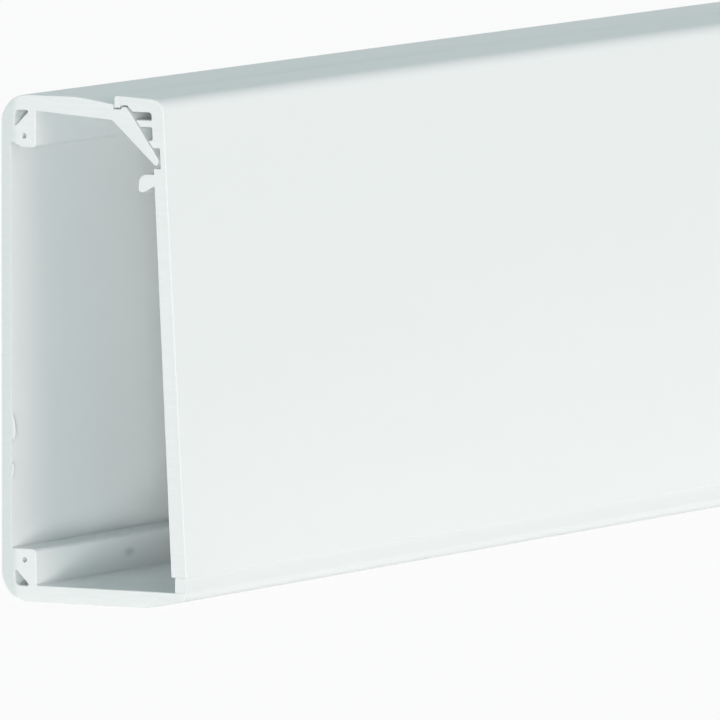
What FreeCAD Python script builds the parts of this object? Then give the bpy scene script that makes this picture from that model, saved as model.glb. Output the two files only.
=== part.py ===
import FreeCAD, Part

import os
import re

import Sketcher

# White PVC raceway that hides cords along a wall. The section is drawn once and runs the whole length:
# a channel that is fixed by its flat back, and a cover that hangs on a flexible strip along the
# bottom of the front and latches over the channel's upper leg.

SIZES = {
    # whole raceway
    "length": 1829.0,
    "depth": 25.0,
    "height": 60.0,
    # walls of the channel
    "back_wall": 1.3,
    "bottom_wall": 1.95,
    "top_wall": 1.9,
    "corner_radius": 3.5,
    # rising nose under the hinge
    "nose_run": 5.1,
    "nose_rise": 0.95,
    "nose_round": 0.9,
    "bottom_round": 12.0,
    # stiffening ribs in the two back corners
    "rib_depth": 4.65,
    "rib_height": 6.25,
    "rib_slant": 0.7,
    "rib_round": 0.5,
    "root_round": 0.25,
    "hollow_wall": 0.85,
    "hollow_in": 1.75,
    "hollow_up": 1.85,
    "hollow_round": 0.7,
    "hollow_tip": 0.2,
    "pin_hole": 0.6,
    "pin_set": 1.6,
    "pin_drop": 1.35,
    # flexible hinge strip
    "hinge_top": 3.75,
    "hinge_thick": 1.3,
    "hinge_set": 0.2,
    # cover wall, which leans back and gets a little thinner towards the top
    "cover_wall": 2.05,
    "front_lean": 0.056,
    "inside_lean": 0.0485,
    "top_round": 1.7,
    "inside_round": 0.4,
    # flange of the cover over the channel
    "flange_reach": 4.92,
    "flange_thick": 1.85,
    "flange_rise": 0.35,
    "flange_round": 0.35,
    "latch_gap": 0.18,
    # toe under the flange and the bead that it drops behind
    "toe_depth": 1.45,
    "toe_width": 0.65,
    "bead_height": 0.3,
    "bead_width": 0.5,
    "bead_slope": 0.25,
    # channel's dip under the flange, and its slanting leg
    "dip_run": 4.8,
    "seat_drop": 0.7,
    "leg_set": 0.3,
    "leg_dip": 0.7,
    "leg_round": 0.9,
    "dip_round": 12.0,
    "leg_drop": 7.15,
    "tip_run": 0.4,
    "tip_rise": 0.75,
    "tip_round": 0.25,
    "knuckle_back": 2.32,
    "knuckle_drop": 2.3,
    # two bearing ribs, notch and hook on the inside of the cover
    "upper_rib_drop": 2.45,
    "upper_rib_thick": 0.8,
    "lower_rib_drop": 4.8,
    "lower_rib_thick": 0.9,
    "notch_depth": 0.93,
    "notch_foot_drop": 8.1,
    "hook_drop": 8.8,
    "hook_thick": 1.35,
    "hook_reach": 2.06,
    "hook_turn": 0.8,
    "hook_width": 0.75,
    "hook_round": 1.1,
    "hook_tip": 0.35,
}

SECTION_PLANE = "YZ_Plane"
MATCH = 1e-4

doc = FreeCAD.newDocument("Raceway")
sheet = doc.addObject("Spreadsheet::Sheet", "Sizes")
for row, (size_name, number) in enumerate(SIZES.items(), start=1):
    sheet.set(f"A{row}", size_name)
    sheet.set(f"B{row}", str(number))
    sheet.setAlias(f"B{row}", size_name)
doc.recompute()


def bound(formula):
    """Turn a formula of plain size names into one that reads them from the sheet."""
    return re.sub(r"\b([a-z_]+)\b", r"Sizes.\1", formula)


def worth(formula):
    """Value of a formula at the sizes in the sheet, in millimetres."""
    return float(sheet.evalExpression(formula))


def front_at(up):
    """Cover's outer face, measured out from the wall, at a height."""
    return f"(depth - (({up}) - hinge_top) * front_lean)"


def inside_at(up):
    """Cover's inner face at a height."""
    return f"(depth - cover_wall - (({up}) - hinge_top) * inside_lean)"


# Places that more than one outline uses, measured out from the wall and up from the bottom
LATCH_FACE = inside_at("height")
FLANGE_EDGE = f"({LATCH_FACE} - flange_reach)"
FLANGE_TOP = "(height + flange_rise)"
FLANGE_UNDER = f"({FLANGE_TOP} - flange_thick)"
TOE_BOTTOM = f"({FLANGE_TOP} - toe_depth)"
GROOVE_FLOOR = f"({TOE_BOTTOM} - latch_gap)"
GROOVE_FRONT = f"({FLANGE_EDGE} + toe_width + latch_gap)"
BEAD_TOP = f"({GROOVE_FLOOR} + bead_height)"
BEAD_BACK = f"({GROOVE_FRONT} + bead_slope)"
BEAD_FRONT = f"({BEAD_BACK} + bead_width)"
ROOF = f"({BEAD_TOP} + latch_gap)"
KNUCKLE_OUT = f"({LATCH_FACE} - knuckle_back)"
KNUCKLE_UP = "(height - knuckle_drop)"
TIP_UP = "(height - leg_drop)"
TIP_OUT = f"({inside_at(TIP_UP)} + notch_depth - latch_gap)"


def leg_face_at(up):
    """Outer face of the slanting leg at a height, between its knuckle and its tip."""
    run = f"({TIP_OUT} - {KNUCKLE_OUT})"
    fall = f"({KNUCKLE_UP} - {TIP_UP})"
    return f"({KNUCKLE_OUT} + ({KNUCKLE_UP} - ({up})) * {run} / {fall})"


def new_body(label):
    """Body whose sketches measure out from the wall and up from the bottom of the raceway."""
    body = doc.addObject("PartDesign::Body", label)
    body.Label = label
    body.Placement.Rotation = FreeCAD.Rotation(FreeCAD.Vector(0, 0, 1), 180)
    body.setExpression("Placement.Base.x", bound("length / 2"))
    body.setExpression("Placement.Base.y", bound("depth / 2"))
    doc.recompute()
    return body


def new_sketch(body, name):
    """Sketch on the body's own section plane."""
    sketch = body.newObject("Sketcher::SketchObject", name)
    plane = next(part for part in body.Origin.OriginFeatures if part.Role == SECTION_PLANE)
    sketch.AttachmentSupport = [(plane, "")]
    sketch.MapMode = "FlatFace"
    return sketch


def bind_point(sketch, geometry, end, out, up):
    """Hold one point of a sketch at its formulas, or on the sketch's axis where a formula is 0."""
    for kind, axis, formula in (("DistanceX", -2, out), ("DistanceY", -1, up)):
        if formula == "0":
            sketch.addConstraint(Sketcher.Constraint("PointOnObject", geometry, end, axis))
            continue
        place = sketch.addConstraint(Sketcher.Constraint(kind, -1, 1, geometry, end, worth(formula)))
        sketch.setExpression(f"Constraints[{place}]", bound(formula))


def add_loop(sketch, corners):
    """Closed outline of straight edges through corners that are bound to the sheet."""
    places = [FreeCAD.Vector(worth(out), worth(up), 0) for out, up in corners]
    first = sketch.GeometryCount
    count = len(places)
    for index in range(count):
        sketch.addGeometry(Part.LineSegment(places[index], places[(index + 1) % count]))
    for index in range(count):
        following = first + (index + 1) % count
        sketch.addConstraint(Sketcher.Constraint("Coincident", first + index, 2, following, 1))
    for index, (out, up) in enumerate(corners):
        bind_point(sketch, first + index, 1, out, up)


def add_hole(sketch, out, up, diameter):
    """Round hole in a sketch, bound to the sheet."""
    centre = FreeCAD.Vector(worth(out), worth(up), 0)
    circle = sketch.addGeometry(Part.Circle(centre, FreeCAD.Vector(0, 0, 1), worth(diameter) / 2))
    bind_point(sketch, circle, 3, out, up)
    place = sketch.addConstraint(Sketcher.Constraint("Diameter", circle, worth(diameter)))
    sketch.setExpression(f"Constraints[{place}]", bound(diameter))


def extrude(body, sketch):
    """Run the section along the whole raceway."""
    pad = body.newObject("PartDesign::Pad", "Extrusion")
    pad.Profile = sketch
    pad.setExpression("Length", bound("length"))
    sketch.Visibility = False
    doc.recompute()
    return pad


def long_edge(shape, out, up):
    """Name of the edge that runs lengthwise through a corner of the section."""
    for index, edge in enumerate(shape.Edges, start=1):
        ends = edge.Vertexes
        if len(ends) == 2 and all(abs(end.Y - out) < MATCH and abs(end.Z - up) < MATCH for end in ends):
            return f"Edge{index}"
    raise ValueError(f"no lengthwise edge at {out:.3f}, {up:.3f}")


def round_corners(body, name, corners, radius):
    """Round the lengthwise edges at some corners of the section."""
    base = body.Tip
    edges = [long_edge(base.Shape, worth(out), worth(up)) for out, up in corners]
    rounding = body.newObject("PartDesign::Fillet", name)
    rounding.Base = (base, edges)
    rounding.setExpression("Radius", bound(radius))
    doc.recompute()
    return rounding


def base_channel():
    """Channel with its back, bottom and top walls, corner ribs and slanting latch leg."""
    corner = {
        "back_bottom": ("0", "0"),
        "bottom_break": ("depth - nose_run", "0"),
        "nose": ("depth - hinge_set", "nose_rise"),
        "hinge_seat": ("depth - hinge_set", "bottom_wall"),
        "low_rib_foot": ("rib_depth", "bottom_wall"),
        "low_rib_edge": ("rib_depth", "rib_height"),
        "low_rib_root": ("back_wall", "rib_height"),
        "high_rib_root": ("back_wall", "height - rib_height + rib_slant"),
        "high_rib_slant": ("back_wall + 2 * rib_slant", "height - rib_height"),
        "high_rib_edge": ("rib_depth", "height - rib_height"),
        "high_rib_foot": ("rib_depth", "height - top_wall"),
        "leg_root": (f"{FLANGE_EDGE} - leg_set", "height - top_wall - leg_dip"),
        "leg_toe": (f"{TIP_OUT} - tip_run", f"{TIP_UP} - tip_rise"),
        "leg_tip": (TIP_OUT, TIP_UP),
        "knuckle": (KNUCKLE_OUT, KNUCKLE_UP),
        "bead_front": (BEAD_FRONT, BEAD_TOP),
        "bead_back": (BEAD_BACK, BEAD_TOP),
        "groove_front": (GROOVE_FRONT, GROOVE_FLOOR),
        "groove_back": (f"{FLANGE_EDGE} - latch_gap", GROOVE_FLOOR),
        "seat": (f"{FLANGE_EDGE} - latch_gap", "height - seat_drop"),
        "dip_start": (f"{FLANGE_EDGE} - dip_run", "height"),
        "back_top": ("0", "height"),
    }
    body = new_body("base_channel")
    section = new_sketch(body, "ChannelSection")
    add_loop(section, list(corner.values()))
    hollow_far = "(rib_depth - hollow_wall)"
    low_hollow = [
        ("hollow_in", "hollow_up"),
        (hollow_far, "hollow_up"),
        ("hollow_in", f"hollow_up + {hollow_far} - hollow_in"),
    ]
    high_hollow = [(out, f"height - ({up})") for out, up in low_hollow]
    add_loop(section, low_hollow)
    add_loop(section, high_hollow)
    add_hole(section, "rib_depth - pin_set", "rib_height - pin_drop", "pin_hole")
    add_hole(section, "rib_depth - pin_set", "height - rib_height + pin_drop", "pin_hole")
    extrude(body, section)
    round_corners(body, "BackCorners", [corner["back_bottom"], corner["back_top"]], "corner_radius")
    round_corners(body, "NoseRound", [corner["nose"]], "nose_round")
    round_corners(body, "BottomBreak", [corner["bottom_break"]], "bottom_round")
    round_corners(body, "RibEdges", [corner["low_rib_edge"], corner["high_rib_edge"]], "rib_round")
    feet = ["low_rib_foot", "low_rib_root", "high_rib_root", "high_rib_slant", "high_rib_foot"]
    round_corners(body, "RibRoots", [corner[foot] for foot in feet], "root_round")
    round_corners(body, "HollowCorners", [low_hollow[0], high_hollow[0]], "hollow_round")
    round_corners(body, "HollowTips", low_hollow[1:] + high_hollow[1:], "hollow_tip")
    round_corners(body, "LegRoot", [corner["leg_root"]], "leg_round")
    round_corners(body, "LegTip", [corner["leg_toe"], corner["leg_tip"]], "tip_round")
    round_corners(body, "DipStart", [corner["dip_start"]], "dip_round")
    return body


def hinge_strip():
    """Flexible strip that joins the channel's bottom wall to the foot of the cover."""
    outer = "depth - hinge_set"
    inner = "depth - hinge_set - hinge_thick"
    body = new_body("hinge_strip")
    section = new_sketch(body, "StripSection")
    add_loop(section, [
        (inner, "bottom_wall"),
        (outer, "bottom_wall"),
        (outer, "hinge_top"),
        (inner, "hinge_top"),
    ])
    extrude(body, section)
    return body


def cover():
    """Cover with its leaning front wall, latch flange, bearing ribs, notch and hook."""
    upper_top = "(height - upper_rib_drop)"
    upper_low = f"({upper_top} - upper_rib_thick)"
    lower_top = "(height - lower_rib_drop)"
    lower_low = f"({lower_top} - lower_rib_thick)"
    notch_foot = "(height - notch_foot_drop)"
    hook_top = "(height - hook_drop)"
    hook_low = f"({hook_top} - hook_thick)"
    hook_out = f"({inside_at(hook_top)} - hook_reach)"
    corner = {
        "foot_front": ("depth", "hinge_top"),
        "top_front": (front_at("height"), "height"),
        "flange_edge": (FLANGE_EDGE, FLANGE_TOP),
        "toe_back": (FLANGE_EDGE, TOE_BOTTOM),
        "toe_front": (f"{FLANGE_EDGE} + toe_width", TOE_BOTTOM),
        "roof_back": (f"{BEAD_BACK} - latch_gap", ROOF),
        "roof_front": (f"{BEAD_FRONT} + latch_gap", ROOF),
        "flange_root": (f"{BEAD_FRONT} + latch_gap + ({ROOF} - {FLANGE_UNDER})", FLANGE_UNDER),
        "inside_top": (inside_at(FLANGE_UNDER), FLANGE_UNDER),
        "upper_rib_root": (inside_at(upper_top), upper_top),
        "upper_rib_tip": (f"{leg_face_at(upper_top)} + latch_gap", upper_top),
        "upper_rib_toe": (f"{leg_face_at(upper_low)} + latch_gap", upper_low),
        "upper_rib_foot": (inside_at(upper_low), upper_low),
        "lower_rib_root": (inside_at(lower_top), lower_top),
        "lower_rib_tip": (f"{leg_face_at(lower_top)} + latch_gap", lower_top),
        "lower_rib_toe": (f"{leg_face_at(lower_low)} + latch_gap", lower_low),
        "notch_top": (f"{inside_at(lower_low)} + notch_depth", lower_low),
        "notch_low": (f"{inside_at(notch_foot)} + notch_depth", notch_foot),
        "notch_sill": (inside_at(notch_foot), notch_foot),
        "hook_root": (inside_at(hook_top), hook_top),
        "hook_shoulder": (hook_out, hook_top),
        "hook_point": (hook_out, f"{hook_low} - hook_turn"),
        "hook_heel": (f"{hook_out} + hook_width", f"{hook_low} - hook_turn"),
        "hook_foot": (inside_at(hook_low), hook_low),
        "foot_inside": (inside_at("hinge_top"), "hinge_top"),
    }
    body = new_body("cover")
    section = new_sketch(body, "CoverSection")
    add_loop(section, list(corner.values()))
    extrude(body, section)
    round_corners(body, "TopRound", [corner["top_front"]], "top_round")
    round_corners(body, "FlangeRound", [corner["flange_edge"]], "flange_round")
    round_corners(body, "InsideRound", [corner["inside_top"]], "inside_round")
    round_corners(body, "HookBack", [corner["hook_shoulder"]], "hook_round")
    round_corners(body, "HookTip", [corner["hook_point"], corner["hook_heel"]], "hook_tip")
    return body


nodes = [base_channel(), hinge_strip(), cover()]
doc.recompute()

for thing in doc.Objects:
    if "Invalid" in thing.State or "Error" in thing.State:
        raise RuntimeError(f"{thing.Name} did not rebuild: {thing.State}")
for node in nodes:
    if node.Shape.isNull() or not node.Shape.isValid():
        raise RuntimeError(f"{node.Label} has no valid shape")

os.makedirs("parts", exist_ok=True)
for node in nodes:
    node.Shape.exportStep(f"parts/{node.Label}.step")
    box = node.Shape.BoundBox
    print(f"{node.Label}: {node.Shape.Volume / 1000:.2f} cm3, {len(node.Shape.Solids)} solid,"
          f" x {box.XMin:.2f} {box.XMax:.2f}, y {box.YMin:.3f} {box.YMax:.3f},"
          f" z {box.ZMin:.3f} {box.ZMax:.3f}")
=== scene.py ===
# %% [markdown]
# A cord cover raceway is a long plastic extrusion that hides cords along a wall. The model of its
# construction is loaded first, and it is never moved: every piece made here has the same size and
# place. Its box is kept at once.

# %% Load the imported model
import math

import bmesh
import bpy
from mathutils import Matrix, Vector


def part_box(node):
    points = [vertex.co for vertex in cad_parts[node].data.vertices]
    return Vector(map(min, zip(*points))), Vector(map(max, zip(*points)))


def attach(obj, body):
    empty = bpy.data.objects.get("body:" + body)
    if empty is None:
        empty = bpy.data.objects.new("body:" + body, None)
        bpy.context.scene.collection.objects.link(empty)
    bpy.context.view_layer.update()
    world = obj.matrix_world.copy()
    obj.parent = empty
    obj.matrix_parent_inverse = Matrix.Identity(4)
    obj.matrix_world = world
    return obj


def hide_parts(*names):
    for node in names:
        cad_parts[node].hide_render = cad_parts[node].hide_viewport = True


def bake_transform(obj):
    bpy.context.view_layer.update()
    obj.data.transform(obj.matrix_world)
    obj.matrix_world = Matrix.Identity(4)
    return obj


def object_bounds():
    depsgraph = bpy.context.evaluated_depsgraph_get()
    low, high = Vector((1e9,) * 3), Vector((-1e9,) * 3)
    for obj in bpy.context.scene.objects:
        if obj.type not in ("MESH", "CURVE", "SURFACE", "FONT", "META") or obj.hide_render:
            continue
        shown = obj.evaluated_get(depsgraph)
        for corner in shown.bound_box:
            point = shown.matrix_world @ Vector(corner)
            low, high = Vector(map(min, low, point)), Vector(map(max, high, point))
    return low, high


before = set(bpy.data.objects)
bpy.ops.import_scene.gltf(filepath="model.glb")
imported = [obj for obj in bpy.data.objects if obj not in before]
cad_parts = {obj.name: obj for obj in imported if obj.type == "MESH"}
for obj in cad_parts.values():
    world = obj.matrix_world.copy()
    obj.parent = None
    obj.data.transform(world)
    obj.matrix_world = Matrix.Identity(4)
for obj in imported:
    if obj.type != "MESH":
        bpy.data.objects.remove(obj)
cad_low, cad_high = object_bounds()
channel_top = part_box("base_channel")[1].z
strip_low, strip_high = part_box("hinge_strip")
print(f"nodes {sorted(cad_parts)}")

# %% [markdown]
# The real thing is pushed through a die, so one section runs the whole length. The section is
# measured here as a maker would: out from the wall, and up from the underside, in millimetres.
# What the loaded model already knows, such as the depth and the place of the hinge, is read from it.

# %% Sizes that the loaded model gives
MM = 0.001
LENGTH = (cad_high.x - cad_low.x) / MM
DEPTH = (cad_high.y - cad_low.y) / MM
HEIGHT = channel_top / MM
CHANNEL_FLOOR = strip_low.z / MM
HINGE_TOP = strip_high.z / MM
STRIP_INSIDE = (cad_high.y - strip_high.y) / MM
STRIP_OUTSIDE = (cad_high.y - strip_low.y) / MM
print(f"raceway {LENGTH:.0f} mm long and {DEPTH:.2f} deep, channel {HEIGHT:.2f} high")
print(f"hinge strip from {CHANNEL_FLOOR:.2f} to {HINGE_TOP:.2f} mm up")


def section_point(out, up):
    """Point of the section as bmesh coordinates in millimetres, at the near cut end."""
    return Vector((cad_low.x / MM, cad_high.y / MM - out, up))


# %% [markdown]
# The cover's front wall leans back towards the top by about three degrees, and gets a little thinner
# on the way. Everything on its inside is placed from these faces, so two small functions give the
# outer and the inner one at any height.

# %% The leaning cover wall
COVER_WALL = 2.05
FRONT_LEAN = 0.056
INSIDE_LEAN = 0.0485


def front_at(up):
    """Cover's outer face at a height."""
    return DEPTH - (up - HINGE_TOP) * FRONT_LEAN


def inside_at(up):
    """Cover's inner face at a height."""
    return DEPTH - COVER_WALL - (up - HINGE_TOP) * INSIDE_LEAN


print(f"the cover leans back {DEPTH - front_at(HEIGHT):.2f} mm over its height")

# %% [markdown]
# At the top the cover latches. Its flange lies over the channel's top wall, with a toe that drops
# behind a bead, while the channel ends in a slanting leg whose tip stands in a notch of the cover.
# These places are shared by both pieces, so they are worked out once, with one clearance. A reach is
# a distance along the depth, and a drop is one down the height.

# %% The latch
LATCH_GAP = 0.18
FLANGE_REACH, FLANGE_RISE, FLANGE_THICKNESS = 4.92, 0.35, 1.85
TOE_WIDTH, TOE_LENGTH = 0.65, 1.45
BEAD_HEIGHT, BEAD_SLOPE, BEAD_WIDTH = 0.3, 0.25, 0.5
KNUCKLE_REACH, KNUCKLE_DROP = 2.32, 2.3
TIP_DROP = 7.15
NOTCH_DEPTH = 0.93

FLANGE_EDGE = inside_at(HEIGHT) - FLANGE_REACH
FLANGE_TOP = HEIGHT + FLANGE_RISE
FLANGE_UNDER = FLANGE_TOP - FLANGE_THICKNESS
TOE_BOTTOM = FLANGE_TOP - TOE_LENGTH
GROOVE_FLOOR = TOE_BOTTOM - LATCH_GAP
GROOVE_FRONT = FLANGE_EDGE + TOE_WIDTH + LATCH_GAP
BEAD_TOP = GROOVE_FLOOR + BEAD_HEIGHT
BEAD_BACK = GROOVE_FRONT + BEAD_SLOPE
BEAD_FRONT = BEAD_BACK + BEAD_WIDTH
ROOF = BEAD_TOP + LATCH_GAP
KNUCKLE = (inside_at(HEIGHT) - KNUCKLE_REACH, HEIGHT - KNUCKLE_DROP)
TIP_UP = HEIGHT - TIP_DROP
TIP = (inside_at(TIP_UP) + NOTCH_DEPTH - LATCH_GAP, TIP_UP)


def leg_face_at(up):
    """Outer face of the slanting leg at a height."""
    share = (KNUCKLE[1] - up) / (KNUCKLE[1] - TIP[1])
    return KNUCKLE[0] + share * (TIP[0] - KNUCKLE[0])


print(f"leg from {KNUCKLE[0]:.2f}, {KNUCKLE[1]:.2f} to {TIP[0]:.2f}, {TIP[1]:.2f} mm")

# %% [markdown]
# Each outline is a ring of named corners, drawn as a few vertices. The arcs could be worked out point
# by point, but then a radius would be hard to change, so a vertex bevel on the bare wire makes them,
# as a die maker rounds a corner. The bevel's offset is the distance from the corner to the start of
# the arc, so the wanted radius is divided by the tangent of half the corner's angle.

# %% Draw and round an outline
ARC_STEP = math.radians(7)
FEWEST_ARC_STEPS = 3


def draw_outline(mesh, corners):
    """Closed wire through the corners; gives each corner's vertex by name."""
    ring = {name: mesh.verts.new(section_point(*place)) for name, place in corners.items()}
    verts = list(ring.values())
    for vert, following in zip(verts, verts[1:] + verts[:1]):
        mesh.edges.new((vert, following))
    return ring


def round_corner(mesh, vert, radius):
    """Replace a corner of the wire by an arc."""
    arms = [edge.other_vert(vert).co - vert.co for edge in vert.link_edges]
    angle = arms[0].angle(arms[1])
    segments = max(FEWEST_ARC_STEPS, round((math.pi - angle) / ARC_STEP))
    bmesh.ops.bevel(
        mesh, geom=[vert], affect="VERTICES", offset=radius / math.tan(angle / 2),
        offset_type="OFFSET", segments=segments, profile=0.5, material=-1, clamp_overlap=False,
    )


def draw_profile(corners, rounds):
    """New mesh with the outline of a profile, rounded at the corners that have a radius."""
    mesh = bmesh.new()
    ring = draw_outline(mesh, corners)
    for corner, radius in rounds.items():
        round_corner(mesh, ring[corner], radius)
    return mesh


print(f"arcs turn about {math.degrees(ARC_STEP):.0f} degrees a step, in {FEWEST_ARC_STEPS} steps or more")

# %% [markdown]
# A filled section is pushed along the length. A curve could carry it along too, but on a mesh the cut
# faces can have a fine edge and a material of their own. A face counts as cut when its normal looks
# more than half along the length, so the fine edge is a part of the cut. The long edges stay smooth
# only where they are rounded, so every edge sharper than a set angle is marked as sharp.

# %% Push a section and make a piece
SHARP_FROM = math.radians(24)
SKIN, SAWN = 0, 1
CUT_FACING = 0.5


def push_section(mesh, distance):
    """Push the filled section along the raceway; gives the vertices of its far end."""
    pushed = bmesh.ops.extrude_face_region(mesh, geom=mesh.faces[:], use_keep_orig=True)
    far_verts = [part for part in pushed["geom"] if isinstance(part, bmesh.types.BMVert)]
    bmesh.ops.translate(mesh, verts=far_verts, vec=(distance, 0, 0))
    return far_verts


def new_piece(mesh, name, unit=MM):
    """Object made of a mesh that was drawn in this unit, with its place in the mesh."""
    bmesh.ops.scale(mesh, vec=(unit, unit, unit), verts=mesh.verts[:])
    data = bpy.data.meshes.new(name)
    mesh.to_mesh(data)
    mesh.free()
    piece = bpy.data.objects.new(name, data)
    bpy.context.scene.collection.objects.link(piece)
    return piece


def extruded_piece(mesh, name):
    """Piece with smooth long faces and sawn ends."""
    for face in mesh.faces:
        face.smooth = True
        face.material_index = SAWN if abs(face.normal.x) > CUT_FACING else SKIN
    piece = new_piece(mesh, name)
    piece.data.set_sharp_from_angle(angle=SHARP_FROM)
    return piece


print(f"edges over {math.degrees(SHARP_FROM):.0f} degrees stay sharp")

# %% [markdown]
# The wires of a rigid profile are filled, with its hollows left open. A saw never leaves a razor
# edge, and a fine bevel there catches the light. A bevel by angle would take the sharp long edges
# too, so instead the flat cut faces, whose normals look almost wholly along the length, are inset
# and moved out by a hair. A weighted normal keeps the wide faces flat beside their arcs.

# %% Run a rigid profile along the length
END_BREAK = 0.07
FLAT_CUT = 0.99


def run_along_length(mesh, name):
    """Fill the section's wires, push them along the raceway and break the edges of both cuts."""
    bmesh.ops.triangle_fill(
        mesh, use_beauty=True, use_dissolve=False, edges=mesh.edges[:], normal=(1, 0, 0),
    )
    far_verts = set(push_section(mesh, LENGTH - END_BREAK))
    near_verts = [vert for vert in mesh.verts if vert not in far_verts]
    bmesh.ops.translate(mesh, verts=near_verts, vec=(END_BREAK, 0, 0))
    bmesh.ops.recalc_face_normals(mesh, faces=mesh.faces[:])
    caps = [face for face in mesh.faces if abs(face.normal.x) > FLAT_CUT]
    bmesh.ops.inset_region(
        mesh, faces=caps, thickness=END_BREAK, depth=END_BREAK, use_boundary=True, use_even_offset=True,
    )
    closed = all(len(edge.link_faces) == 2 for edge in mesh.edges)
    piece = extruded_piece(mesh, name)
    flatten = piece.modifiers.new("flat_faces", "WEIGHTED_NORMAL")
    flatten.keep_sharp = True
    print(f"{name}: {len(piece.data.polygons)} faces, closed {closed}")
    return piece


print(f"the cut edges are broken by {END_BREAK} mm")

# %% [markdown]
# The channel is the part that is fixed to the wall. Its two back corners are stiffened by ribs, its
# underside rises to a nose below the hinge, and its top wall dips under the cover's flange and bends
# into the slanting latch leg. The corners are named in the order of a walk round the outline.

# %% The channel's section
BACK_WALL = 1.3
TOP_WALL = 1.9
RIB_DEPTH = 4.65
RIB_HEIGHT = 6.25
RIB_SLANT = 0.7
NOSE_REACH, NOSE_HEIGHT = 5.1, 0.95
LEG_ROOT_REACH, LEG_ROOT_DROP = 0.3, 0.7
LEG_TOE_REACH, LEG_TOE_DROP = 0.4, 0.75
SEAT_DROP = 0.7
DIP_REACH = 4.8
channel_corners = {
    "back_bottom": (0.0, 0.0),
    "bottom_break": (DEPTH - NOSE_REACH, 0.0),
    "nose": (STRIP_OUTSIDE, NOSE_HEIGHT),
    "hinge_seat": (STRIP_OUTSIDE, CHANNEL_FLOOR),
    "low_rib_foot": (RIB_DEPTH, CHANNEL_FLOOR),
    "low_rib_edge": (RIB_DEPTH, RIB_HEIGHT),
    "low_rib_root": (BACK_WALL, RIB_HEIGHT),
    "high_rib_root": (BACK_WALL, HEIGHT - RIB_HEIGHT + RIB_SLANT),
    "high_rib_slant": (BACK_WALL + 2 * RIB_SLANT, HEIGHT - RIB_HEIGHT),
    "high_rib_edge": (RIB_DEPTH, HEIGHT - RIB_HEIGHT),
    "high_rib_foot": (RIB_DEPTH, HEIGHT - TOP_WALL),
    "leg_root": (FLANGE_EDGE - LEG_ROOT_REACH, HEIGHT - TOP_WALL - LEG_ROOT_DROP),
    "leg_toe": (TIP[0] - LEG_TOE_REACH, TIP[1] - LEG_TOE_DROP),
    "leg_tip": TIP,
    "knuckle": KNUCKLE,
    "bead_front": (BEAD_FRONT, BEAD_TOP),
    "bead_back": (BEAD_BACK, BEAD_TOP),
    "groove_front": (GROOVE_FRONT, GROOVE_FLOOR),
    "groove_back": (FLANGE_EDGE - LATCH_GAP, GROOVE_FLOOR),
    "seat": (FLANGE_EDGE - LATCH_GAP, HEIGHT - SEAT_DROP),
    "dip_start": (FLANGE_EDGE - DIP_REACH, HEIGHT),
    "back_top": (0.0, HEIGHT),
}
channel_rounds = {
    "back_bottom": 3.5, "back_top": 3.5, "nose": 0.9, "low_rib_edge": 0.5, "high_rib_edge": 0.5,
    "low_rib_foot": 0.25, "low_rib_root": 0.25, "high_rib_root": 0.25, "high_rib_slant": 0.25,
    "high_rib_foot": 0.25, "leg_root": 0.9, "leg_toe": 0.25, "leg_tip": 0.25, "dip_start": 12.0,
    "seat": 0.12, "bead_front": 0.1, "bead_back": 0.1, "bottom_break": 12.0,
}
print(f"channel: {len(channel_corners)} corners, {len(channel_rounds)} of them rounded")

# %% [markdown]
# Each rib has a small triangular hollow and a pin hole, which save plastic and let the corner cool
# evenly. They could be cut out with a boolean, but wires drawn inside the outline simply stay open
# when the section is filled. The upper ones are the lower ones mirrored in height.

# %% The channel's hollows
HOLLOW_IN, HOLLOW_UP = 1.75, 1.85
HOLLOW_WALL = 0.85
HOLLOW_SIDE = RIB_DEPTH - HOLLOW_WALL - HOLLOW_IN
HOLLOW_ROUND, HOLLOW_TIP = 0.7, 0.2
PIN_RADIUS, PIN_SIDES = 0.3, 24
PIN_FROM_SIDE, PIN_FROM_TOP = 1.6, 1.35
PIN_IN, PIN_UP = RIB_DEPTH - PIN_FROM_SIDE, RIB_HEIGHT - PIN_FROM_TOP
low_hollow = {
    "corner": (HOLLOW_IN, HOLLOW_UP),
    "side_tip": (HOLLOW_IN + HOLLOW_SIDE, HOLLOW_UP),
    "upright_tip": (HOLLOW_IN, HOLLOW_UP + HOLLOW_SIDE),
}
high_hollow = {name: (out, HEIGHT - up) for name, (out, up) in low_hollow.items()}


def add_hollow(mesh, corners):
    """Triangular hollow with rounded corners."""
    ring = draw_outline(mesh, corners)
    for name, vert in ring.items():
        round_corner(mesh, vert, HOLLOW_ROUND if name == "corner" else HOLLOW_TIP)


def add_pin_hole(mesh, up):
    """Round hole that a pin of the die leaves in a rib."""
    place = Matrix.Translation(section_point(PIN_IN, up)) @ Matrix.Rotation(math.pi / 2, 4, "Y")
    bmesh.ops.create_circle(mesh, cap_ends=False, segments=PIN_SIDES, radius=PIN_RADIUS, matrix=place)


print(f"hollows {HOLLOW_SIDE:.2f} mm wide, pin holes {2 * PIN_RADIUS:.1f} mm across")

# %% Make the channel
channel_mesh = draw_profile(channel_corners, channel_rounds)
add_hollow(channel_mesh, low_hollow)
add_hollow(channel_mesh, high_hollow)
add_pin_hole(channel_mesh, PIN_UP)
add_pin_hole(channel_mesh, HEIGHT - PIN_UP)
channel = run_along_length(channel_mesh, "channel_profile")
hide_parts("base_channel")
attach(channel, "channel")

# %% [markdown]
# The saw that cut this length left two small burrs on the inner edge of the back wall. Each is a
# flat grain of plastic, flush with the cut, half sunk in the wall and leaning a little, as a torn
# edge does. A burr could be sculpted, but at two to four millimetres a flattened sphere is enough.

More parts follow.
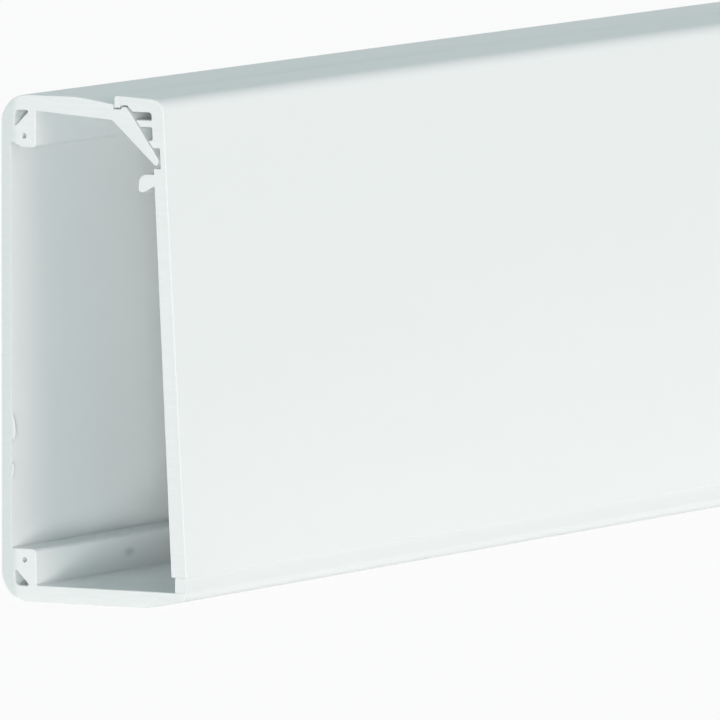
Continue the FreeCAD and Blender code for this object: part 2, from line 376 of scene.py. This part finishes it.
# %% Saw burrs
BURRS = {
    "upper_burr": {"up": 20.8, "half_height": 1.8, "reach": 0.5, "lean": -0.12},
    "lower_burr": {"up": 15.3, "half_height": 1.1, "reach": 0.3, "lean": 0.12},
}
BURR_HALF_LENGTH = 0.09
BURR_SUBDIVISIONS = 3


def make_burr(name, up, half_height, reach, lean):
    """Grain of plastic on the inner edge of the back wall's cut."""
    grain = bmesh.new()
    bmesh.ops.create_icosphere(grain, subdivisions=BURR_SUBDIVISIONS, radius=1.0)
    bmesh.ops.scale(grain, vec=(BURR_HALF_LENGTH, reach, half_height), verts=grain.verts[:])
    bmesh.ops.rotate(grain, matrix=Matrix.Rotation(lean, 3, "X"), verts=grain.verts[:])
    place = section_point(BACK_WALL, up) + Vector((BURR_HALF_LENGTH, 0, 0))
    bmesh.ops.translate(grain, vec=place, verts=grain.verts[:])
    for face in grain.faces:
        face.smooth = True
    piece = new_piece(grain, name)
    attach(piece, "channel")
    return piece


burrs = [make_burr(name, **sizes) for name, sizes in BURRS.items()]
print("burrs:", [piece.name for piece in burrs])

# %% [markdown]
# The cover is the second rigid profile. Under its flange two bearing ribs stop just short of the
# channel's leg, the notch takes the leg's tip, and a hook below it keeps cords away from the latch.
# It is drawn and pushed as the channel was, from the faces and the latch worked out before.

# %% The cover's section
UPPER_RIB_DROPS, LOWER_RIB_DROPS = (2.45, 3.25), (4.8, 5.7)
UPPER_RIB = [HEIGHT - drop for drop in UPPER_RIB_DROPS]
LOWER_RIB = [HEIGHT - drop for drop in LOWER_RIB_DROPS]
NOTCH_DROP = 8.1
HOOK_DROP, HOOK_HEIGHT, HOOK_REACH, HOOK_LIP = 8.8, 1.35, 2.06, 0.8
HOOK_WIDTH = 0.75
NOTCH_FOOT = HEIGHT - NOTCH_DROP
HOOK_TOP = HEIGHT - HOOK_DROP
HOOK_LOW = HOOK_TOP - HOOK_HEIGHT
HOOK_OUT = inside_at(HOOK_TOP) - HOOK_REACH
HOOK_POINT = HOOK_LOW - HOOK_LIP
cover_corners = {
    "foot_front": (DEPTH, HINGE_TOP),
    "top_front": (front_at(HEIGHT), HEIGHT),
    "flange_edge": (FLANGE_EDGE, FLANGE_TOP),
    "toe_back": (FLANGE_EDGE, TOE_BOTTOM),
    "toe_front": (FLANGE_EDGE + TOE_WIDTH, TOE_BOTTOM),
    "roof_back": (BEAD_BACK - LATCH_GAP, ROOF),
    "roof_front": (BEAD_FRONT + LATCH_GAP, ROOF),
    "flange_root": (BEAD_FRONT + LATCH_GAP + ROOF - FLANGE_UNDER, FLANGE_UNDER),
    "inside_top": (inside_at(FLANGE_UNDER), FLANGE_UNDER),
    "upper_rib_root": (inside_at(UPPER_RIB[0]), UPPER_RIB[0]),
    "upper_rib_tip": (leg_face_at(UPPER_RIB[0]) + LATCH_GAP, UPPER_RIB[0]),
    "upper_rib_toe": (leg_face_at(UPPER_RIB[1]) + LATCH_GAP, UPPER_RIB[1]),
    "upper_rib_foot": (inside_at(UPPER_RIB[1]), UPPER_RIB[1]),
    "lower_rib_root": (inside_at(LOWER_RIB[0]), LOWER_RIB[0]),
    "lower_rib_tip": (leg_face_at(LOWER_RIB[0]) + LATCH_GAP, LOWER_RIB[0]),
    "lower_rib_toe": (leg_face_at(LOWER_RIB[1]) + LATCH_GAP, LOWER_RIB[1]),
    "notch_top": (inside_at(LOWER_RIB[1]) + NOTCH_DEPTH, LOWER_RIB[1]),
    "notch_low": (inside_at(NOTCH_FOOT) + NOTCH_DEPTH, NOTCH_FOOT),
    "notch_sill": (inside_at(NOTCH_FOOT), NOTCH_FOOT),
    "hook_root": (inside_at(HOOK_TOP), HOOK_TOP),
    "hook_shoulder": (HOOK_OUT, HOOK_TOP),
    "hook_point": (HOOK_OUT, HOOK_POINT),
    "hook_heel": (HOOK_OUT + HOOK_WIDTH, HOOK_POINT),
    "hook_foot": (inside_at(HOOK_LOW), HOOK_LOW),
    "foot_inside": (inside_at(HINGE_TOP), HINGE_TOP),
}
cover_rounds = {
    "top_front": 1.7, "flange_edge": 0.35, "inside_top": 0.4, "hook_shoulder": 1.1,
    "hook_point": 0.35, "hook_heel": 0.35, "foot_front": 0.12, "foot_inside": 0.12,
    "toe_back": 0.12, "toe_front": 0.1, "notch_top": 0.15, "notch_low": 0.15, "notch_sill": 0.12,
    "upper_rib_tip": 0.1, "upper_rib_toe": 0.1, "upper_rib_root": 0.1, "upper_rib_foot": 0.15,
    "lower_rib_root": 0.15, "lower_rib_tip": 0.1, "lower_rib_toe": 0.1, "hook_foot": 0.15,
}
print(f"cover: {len(cover_corners)} corners, {len(cover_rounds)} of them rounded")

# %% Make the cover
cover = run_along_length(draw_profile(cover_corners, cover_rounds), "cover_profile")
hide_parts("cover")
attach(cover, "cover")

# %% [markdown]
# The hinge is a strip of soft PVC that leaves the die together with the two rigid profiles. It is
# the one piece that bends, so it is cut into rows of faces that can take up a bend.

# %% Make the hinge strip
STRIP_ROWS = 14
strip_corners = {
    "foot_inside": (STRIP_INSIDE, CHANNEL_FLOOR),
    "foot_outside": (STRIP_OUTSIDE, CHANNEL_FLOOR),
    "top_outside": (STRIP_OUTSIDE, HINGE_TOP),
    "top_inside": (STRIP_INSIDE, HINGE_TOP),
}
strip_mesh = bmesh.new()
strip_ring = draw_outline(strip_mesh, strip_corners)
strip_mesh.faces.new(list(strip_ring.values()))
push_section(strip_mesh, LENGTH)
bmesh.ops.recalc_face_normals(strip_mesh, faces=strip_mesh.faces[:])
for row in range(1, STRIP_ROWS):
    level = CHANNEL_FLOOR + (HINGE_TOP - CHANNEL_FLOOR) * row / STRIP_ROWS
    whole = strip_mesh.verts[:] + strip_mesh.edges[:] + strip_mesh.faces[:]
    bmesh.ops.bisect_plane(strip_mesh, geom=whole, plane_co=(0, 0, level), plane_no=(0, 0, 1))
strip = extruded_piece(strip_mesh, "hinge_membrane")
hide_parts("hinge_strip")
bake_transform(strip)
print(f"hinge strip: {len(strip.data.polygons)} faces in {STRIP_ROWS} rows")

# %% [markdown]
# Each plastic finish starts from a noise on the object's own coordinates. A painted image would need
# the mesh unwrapped and would blur close by, and a noise does neither. Its scale tells about how
# many grains fit in a metre along each axis, so a small number along X draws the grains out into
# lines along the length. The noise gives a bump, and it can also move the sheen and the colour.

# %% A material and its noise


def new_material(name):
    """New node material; gives the material and its Principled shader."""
    material = bpy.data.materials.new(name)
    material.use_nodes = True
    return material, material.node_tree.nodes["Principled BSDF"]


def stretched_noise(material, scale, detail, distance, strength):
    """Noise on object coordinates, stretched by a scale for each axis, and the bump that it makes."""
    nodes, links = material.node_tree.nodes, material.node_tree.links
    coordinates = nodes.new("ShaderNodeTexCoord")
    mapping = nodes.new("ShaderNodeMapping")
    mapping.inputs["Scale"].default_value = scale
    noise = nodes.new("ShaderNodeTexNoise")
    noise.inputs["Scale"].default_value = 1.0
    noise.inputs["Detail"].default_value = detail
    bump = nodes.new("ShaderNodeBump")
    bump.inputs["Distance"].default_value = distance
    bump.inputs["Strength"].default_value = strength
    links.new(coordinates.outputs["Object"], mapping.inputs["Vector"])
    links.new(mapping.outputs["Vector"], noise.inputs["Vector"])
    links.new(noise.outputs["Fac"], bump.inputs["Height"])
    return noise, bump


print("made new_material and stretched_noise, which each plastic finish starts with")

# %% Sheen and colour that follow a noise
NOISE_DEEP, NOISE_PALE = 0.3, 0.7


def sheen_range(material, noise, shader, low, high):
    """Let a noise move the roughness between two values."""
    nodes, links = material.node_tree.nodes, material.node_tree.links
    ramp = nodes.new("ShaderNodeMapRange")
    ramp.inputs["To Min"].default_value = low
    ramp.inputs["To Max"].default_value = high
    links.new(noise.outputs["Fac"], ramp.inputs["Value"])
    links.new(ramp.outputs["Result"], shader.inputs["Roughness"])


def colour_range(material, noise, shader, pale, deep):
    """Let a noise move the colour between two close tones."""
    nodes, links = material.node_tree.nodes, material.node_tree.links
    ramp = nodes.new("ShaderNodeValToRGB")
    ramp.color_ramp.elements[0].position = NOISE_DEEP
    ramp.color_ramp.elements[0].color = (*deep, 1)
    ramp.color_ramp.elements[1].position = NOISE_PALE
    ramp.color_ramp.elements[1].color = (*pale, 1)
    links.new(noise.outputs["Fac"], ramp.inputs["Fac"])
    links.new(ramp.outputs["Color"], shader.inputs["Base Color"])


print(f"tones change while the noise goes from {NOISE_DEEP} to {NOISE_PALE}")

# %% [markdown]
# Two small things break the even white, and both lay a second colour over the first: a grey spot on
# the lower rib, and painted shade on the cut of the back wall. Painting them on the vertices would
# need many more faces, so they are placed by coordinates: how much of the second colour shows is a
# number that changes smoothly over the surface.

# %% A soft edge and a tint


def soft_fade(material, value, start, end, at_start, at_end):
    """Number that goes smoothly from one value to another while the input goes from start to end."""
    nodes, links = material.node_tree.nodes, material.node_tree.links
    fade = nodes.new("ShaderNodeMapRange")
    fade.interpolation_type = "SMOOTHSTEP"
    fade.inputs["From Min"].default_value = start
    fade.inputs["From Max"].default_value = end
    fade.inputs["To Min"].default_value = at_start
    fade.inputs["To Max"].default_value = at_end
    links.new(value, fade.inputs["Value"])
    return fade.outputs["Result"]


def tint(material, shader, share, colour, blend):
    """Mix or multiply a colour into the shader's own, by a share that changes over the surface."""
    nodes, links = material.node_tree.nodes, material.node_tree.links
    mix = nodes.new("ShaderNodeMixRGB")
    mix.blend_type = blend
    mix.inputs["Color2"].default_value = (*colour, 1)
    links.new(share, mix.inputs["Fac"])
    links.new(shader.inputs["Base Color"].links[0].from_socket, mix.inputs["Color1"])
    links.new(mix.outputs["Color"], shader.inputs["Base Color"])


# The darker cut is painted shade on the back wall's cut.
print("made soft_fade and tint, for the smudge and the darker cut")

# %% [markdown]
# A soft grey spot lies on the side of the lower rib. It is an oval, so the way to its middle is divided
# by its half sizes before it is measured, and it has faded out where that measure reaches one.

# %% Grey spot on the lower rib
DARK_SPOT_COLOUR = (0.3, 0.32, 0.33)
DARK_SPOT_STRENGTH = 0.4
DARK_SPOT_HALF_SIZE = Vector((1.9, 0.8, 0.8))
DARK_SPOT_FROM_CUT, DARK_SPOT_UP = 22.25, 4.05
DARK_SPOT_PLACE = section_point(RIB_DEPTH, DARK_SPOT_UP) + Vector((DARK_SPOT_FROM_CUT, 0, 0))


def add_dark_spot(material, shader):
    """Soft grey oval on the lower rib."""
    nodes, links = material.node_tree.nodes, material.node_tree.links
    vector = nodes.new("ShaderNodeTexCoord").outputs["Object"]
    for operation, amount in (("SUBTRACT", DARK_SPOT_PLACE), ("DIVIDE", DARK_SPOT_HALF_SIZE)):
        step = nodes.new("ShaderNodeVectorMath")
        step.operation = operation
        step.inputs[1].default_value = amount * MM
        links.new(vector, step.inputs[0])
        vector = step.outputs["Vector"]
    length = nodes.new("ShaderNodeVectorMath")
    length.operation = "LENGTH"
    links.new(vector, length.inputs[0])
    share = soft_fade(material, length.outputs["Value"], 0.0, 1.0, DARK_SPOT_STRENGTH, 0.0)
    tint(material, shader, share, DARK_SPOT_COLOUR, "MIX")


print(f"smudge {2 * DARK_SPOT_HALF_SIZE.x:.1f} by {2 * DARK_SPOT_HALF_SIZE.z:.1f} mm, {DARK_SPOT_UP} mm up")

# %% [markdown]
# Painted shade makes the cut of the thin back wall a shade darker than that of the thicker walls.
# That may be because light leaves a thin wall at its sides. The painted shade is multiplied in, so the
# scores of the saw still show, and it fades out over about a millimetre, where the ribs begin.

# %% Painted shade on the cut of the back wall
THIN_CUT_PAINTED_SHADE = (0.86, 0.885, 0.885)
THIN_CUT_ENDS = 2.4


def paint_shade_on_thin_cut(material, shader):
    """Painted shade over the back wall's cut, gone where the ribs begin to be thick."""
    nodes, links = material.node_tree.nodes, material.node_tree.links
    coordinates = nodes.new("ShaderNodeTexCoord")
    parts = nodes.new("ShaderNodeSeparateXYZ")
    links.new(coordinates.outputs["Object"], parts.inputs["Vector"])
    thick, thin = cad_high.y - THIN_CUT_ENDS * MM, cad_high.y - BACK_WALL * MM
    share = soft_fade(material, parts.outputs["Y"], thick, thin, 0.0, 1.0)
    tint(material, shader, share, THIN_CUT_PAINTED_SHADE, "MULTIPLY")


# The darker tone of the cut is painted shade.
print(f"the darker tone of the cut fades out from {BACK_WALL} to {THIN_CUT_ENDS} mm off the wall")

# %% [markdown]
# White PVC is a dense, slightly cool white with a low sheen. The die leaves very fine lines along
# the length, far too fine to model, so a bump stands for them. A second, much larger noise makes
# soft clouds that change the sheen and the tone a little from place to place.

# %% Extruded skin
DIE_LINES = {"scale": (2, 1400, 1400), "detail": 3, "distance": 0.01 * MM, "strength": 0.35}
SKIN_CLOUDS = {"scale": (9, 60, 60), "detail": 2, "distance": 0.04 * MM, "strength": 0.25}
SKIN_ROUGHNESS = (0.36, 0.46)
SKIN_TONES = ((0.872, 0.885, 0.882), (0.862, 0.878, 0.876))


def extruded_pvc():
    """Skin of the rigid profiles, with die lines along the length."""
    material, shader = new_material("extruded_pvc")
    links = material.node_tree.links
    line_bump = stretched_noise(material, **DIE_LINES)[1]
    clouds, cloud_bump = stretched_noise(material, **SKIN_CLOUDS)
    links.new(line_bump.outputs["Normal"], cloud_bump.inputs["Normal"])
    links.new(cloud_bump.outputs["Normal"], shader.inputs["Normal"])
    sheen_range(material, clouds, shader, *SKIN_ROUGHNESS)
    colour_range(material, clouds, shader, *SKIN_TONES)
    add_dark_spot(material, shader)
    return material


skin = extruded_pvc()
print(f"{skin.name}: {len(skin.node_tree.nodes)} nodes")

# %% [markdown]
# A saw leaves the ends dull and finely scored. They are written a little greyer than the skin,
# because the low lamp shines almost straight at them and would bleach them. The soft strip has die
# lines too, but it is duller and a touch greyer than the rigid skin. Both need one noise only, so
# one function makes them.

# %% Sawn ends and soft strip
SAW_SCORES = {"scale": (900, 260, 2600), "detail": 4, "distance": 0.03 * MM, "strength": 0.5}
SAWN_ROUGHNESS = (0.55, 0.72)
SAWN_TONES = ((0.71, 0.693, 0.682), (0.68, 0.663, 0.652))
STRIP_LINES = {"scale": (3, 900, 900), "detail": 2, "distance": 0.01 * MM, "strength": 0.3}
STRIP_ROUGHNESS = (0.5, 0.6)
STRIP_TONES = ((0.845, 0.862, 0.86), (0.825, 0.845, 0.845))


def lined_pvc(name, lines, roughness, tones):
    """PVC whose bump, sheen and tone all follow one noise; gives the material and its shader."""
    material, shader = new_material(name)
    noise, bump = stretched_noise(material, **lines)
    material.node_tree.links.new(bump.outputs["Normal"], shader.inputs["Normal"])
    sheen_range(material, noise, shader, *roughness)
    colour_range(material, noise, shader, *tones)
    return material, shader


sawn, sawn_shader = lined_pvc("sawn_pvc", SAW_SCORES, SAWN_ROUGHNESS, SAWN_TONES)
# Painted shade on the cut of the thin back wall.
paint_shade_on_thin_cut(sawn, sawn_shader)
soft = lined_pvc("soft_pvc", STRIP_LINES, STRIP_ROUGHNESS, STRIP_TONES)[0]
print(f"{sawn.name}: {len(sawn.node_tree.nodes)} nodes, {soft.name}: {len(soft.node_tree.nodes)} nodes")

# %% [markdown]
# A long piece gets two materials, in the order of the two numbers that its faces were given: first
# the one of its sides, then the one of its cuts. A burr is torn plastic, so it has that of the cuts.
# The nodes of the loaded model, which the new pieces stand for, get the skin.

# %% Give every piece its finish
for piece, first in ((channel, skin), (cover, skin), (strip, soft)):
    piece.data.materials.append(first)
    piece.data.materials.append(sawn)
for piece in burrs:
    piece.data.materials.append(sawn)
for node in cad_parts.values():
    node.data.materials.clear()
    node.data.materials.append(skin)
print("materials:", [material.name for material in bpy.data.materials if material.users])

# %% [markdown]
# The raceway stands on a pale floor. A catalogue picture has a plain white ground, so the floor and
# the world look white to the camera, while the floor still takes a part of its light from the
# lamps and keeps a faint shadow.

# %% White to the camera only
SEEN_RAYS = ("Is Camera Ray", "Is Glossy Ray", "Is Transmission Ray")


def seen_share(tree, share):
    """Value of the share for rays that come from the camera or by a mirror or glass, otherwise 0."""
    path = tree.nodes.new("ShaderNodeLightPath")
    seen = path.outputs[SEEN_RAYS[0]]
    for kind in SEEN_RAYS[1:]:
        either = tree.nodes.new("ShaderNodeMath")
        either.operation = "MAXIMUM"
        tree.links.new(seen, either.inputs[0])
        tree.links.new(path.outputs[kind], either.inputs[1])
        seen = either.outputs["Value"]
    part = tree.nodes.new("ShaderNodeMath")
    part.operation = "MULTIPLY"
    part.inputs[1].default_value = share
    tree.links.new(seen, part.inputs[0])
    return part.outputs["Value"]


print(f"white to {len(SEEN_RAYS)} kinds of ray: {', '.join(SEEN_RAYS)}")

# %% Floor
FLOOR_METRES = 60.0
FLOOR_WHITE = 0.94
FLOOR_COLOUR = (0.66, 0.67, 0.67)
FLOOR_ROUGHNESS = 0.9


def pale_floor():
    """Floor that is mostly white to the camera and keeps some shadow."""
    material, shader = new_material("pale_floor")
    nodes, links = material.node_tree.nodes, material.node_tree.links
    shader.inputs["Base Color"].default_value = (*FLOOR_COLOUR, 1)
    shader.inputs["Roughness"].default_value = FLOOR_ROUGHNESS
    glow = nodes.new("ShaderNodeEmission")
    mix = nodes.new("ShaderNodeMixShader")
    links.new(seen_share(material.node_tree, FLOOR_WHITE), mix.inputs["Fac"])
    links.new(shader.outputs["BSDF"], mix.inputs[1])
    links.new(glow.outputs["Emission"], mix.inputs[2])
    links.new(mix.outputs["Shader"], nodes["Material Output"].inputs["Surface"])
    return material


floor_mesh = bmesh.new()
bmesh.ops.create_grid(floor_mesh, x_segments=1, y_segments=1, size=FLOOR_METRES / 2)
floor = new_piece(floor_mesh, "floor", unit=1.0)
floor.data.materials.append(pale_floor())
print(f"floor {FLOOR_METRES:.0f} m wide, {FLOOR_WHITE:.0%} white to the camera")

# %% [markdown]
# The key lamp stands far round to the cut end's side, so it shines deep into the raceway. It is a
# little below the floor's level, as under a light table, so the floor is set to cast no shadow and
# lets it through. A weaker, warm lamp in front lifts the cover, and a third one, below and behind,
# lights the flat back. Area lamps would fade along nearly two metres, so all three are suns. Only the
# direction of a sun counts, not its distance, and the wider its angle, the softer its shadows.

# %% Lamps
LAMPS = {
    "key": {
        "azimuth": -67.0, "elevation": -7.0, "angle": 22.0,
        "strength": 2.9, "colour": (0.955, 0.99, 0.995),
    },
    "fill": {
        "azimuth": -8.0, "elevation": 10.0, "angle": 40.0,
        "strength": 1.08, "colour": (1.0, 0.78, 0.75),
    },
    "rear": {
        "azimuth": 160.0, "elevation": -26.0, "angle": 30.0,
        "strength": 2.35, "colour": (1.0, 0.94, 0.93),
    },
}
LAMP_DISTANCE = 3.0
floor.visible_shadow = False


def direction(azimuth, elevation):
    """Unit vector from the object towards a direction in degrees; azimuth 0 is the front."""
    around, lift = math.radians(azimuth), math.radians(elevation)
    level = math.cos(lift)
    return Vector((math.sin(around) * level, -math.cos(around) * level, math.sin(lift)))


for name, setting in LAMPS.items():
    towards = direction(setting["azimuth"], setting["elevation"])
    lamp_data = bpy.data.lights.new(name, "SUN")
    lamp_data.energy = setting["strength"]
    lamp_data.color = setting["colour"]
    lamp_data.angle = math.radians(setting["angle"])
    lamp = bpy.data.objects.new(name, lamp_data)
    lamp.rotation_mode = "QUATERNION"
    lamp.rotation_quaternion = towards.to_track_quat("Z", "Y")
    lamp.location = towards * LAMP_DISTANCE
    bpy.context.scene.collection.objects.link(lamp)
print("lamps:", ", ".join(LAMPS))

# %% [markdown]
# A dim, cool sky leaves the top grey, as in the picture. The camera sees plain white in its place.

# %% Sky and background
SKY_COLOUR = (0.28, 0.395, 0.4)
world = bpy.data.worlds.new("studio")
bpy.context.scene.world = world
world.use_nodes = True
sky_nodes, sky_links = world.node_tree.nodes, world.node_tree.links
sky = sky_nodes["Background"]
sky.inputs["Color"].default_value = (*SKY_COLOUR, 1)
white = sky_nodes.new("ShaderNodeBackground")
white.inputs["Color"].default_value = (1, 1, 1, 1)
choose = sky_nodes.new("ShaderNodeMixShader")
sky_links.new(seen_share(world.node_tree, 1.0), choose.inputs["Fac"])
sky_links.new(sky.outputs["Background"], choose.inputs[1])
sky_links.new(white.outputs["Background"], choose.inputs[2])
sky_links.new(choose.outputs["Shader"], sky_nodes["World Output"].inputs["Surface"])
bpy.context.scene.view_settings.view_transform = "Standard"
print(f"world {world.name}, sky {SKY_COLOUR}")

# %% [markdown]
# The picture was taken from the side of the cut end and slightly above. Its lines along the length
# hardly draw together, as with a very long lens from far away. The camera is placed from one corner
# of the cut end, whose place in the picture is known.

# %% Camera
PICTURE = 720
CORNER_PIXEL = (2.0, 600.0)
LENS_PIXELS = 20700.0
CUT_HEIGHT_PIXELS = 508.0
VIEW_AZIMUTH, VIEW_ELEVATION = -61.0, 5.1
SENSOR = 36.0
CLIP_NEAR, CLIP_FAR = 0.1, 200

back = direction(VIEW_AZIMUTH, VIEW_ELEVATION)
facing = back.to_track_quat("Z", "Y")
rightwards, upwards = facing @ Vector((1, 0, 0)), facing @ Vector((0, 1, 0))
distance = LENS_PIXELS / CUT_HEIGHT_PIXELS * HEIGHT * MM
aside = (CORNER_PIXEL[0] - PICTURE / 2) / LENS_PIXELS * distance
above = (PICTURE / 2 - CORNER_PIXEL[1]) / LENS_PIXELS * distance
corner = Vector((cad_low.x, cad_high.y, 0))
camera_data = bpy.data.cameras.new("camera")
camera_data.lens = LENS_PIXELS / PICTURE * SENSOR
camera_data.sensor_width = SENSOR
camera_data.clip_start, camera_data.clip_end = CLIP_NEAR, CLIP_FAR
camera = bpy.data.objects.new("camera", camera_data)
camera.rotation_mode = "QUATERNION"
camera.rotation_quaternion = facing
camera.location = corner + back * distance - rightwards * aside - upwards * above
bpy.context.scene.collection.objects.link(camera)
bpy.context.scene.camera = camera
print(f"camera {distance:.2f} m away with a {camera_data.lens:.0f} mm lens")
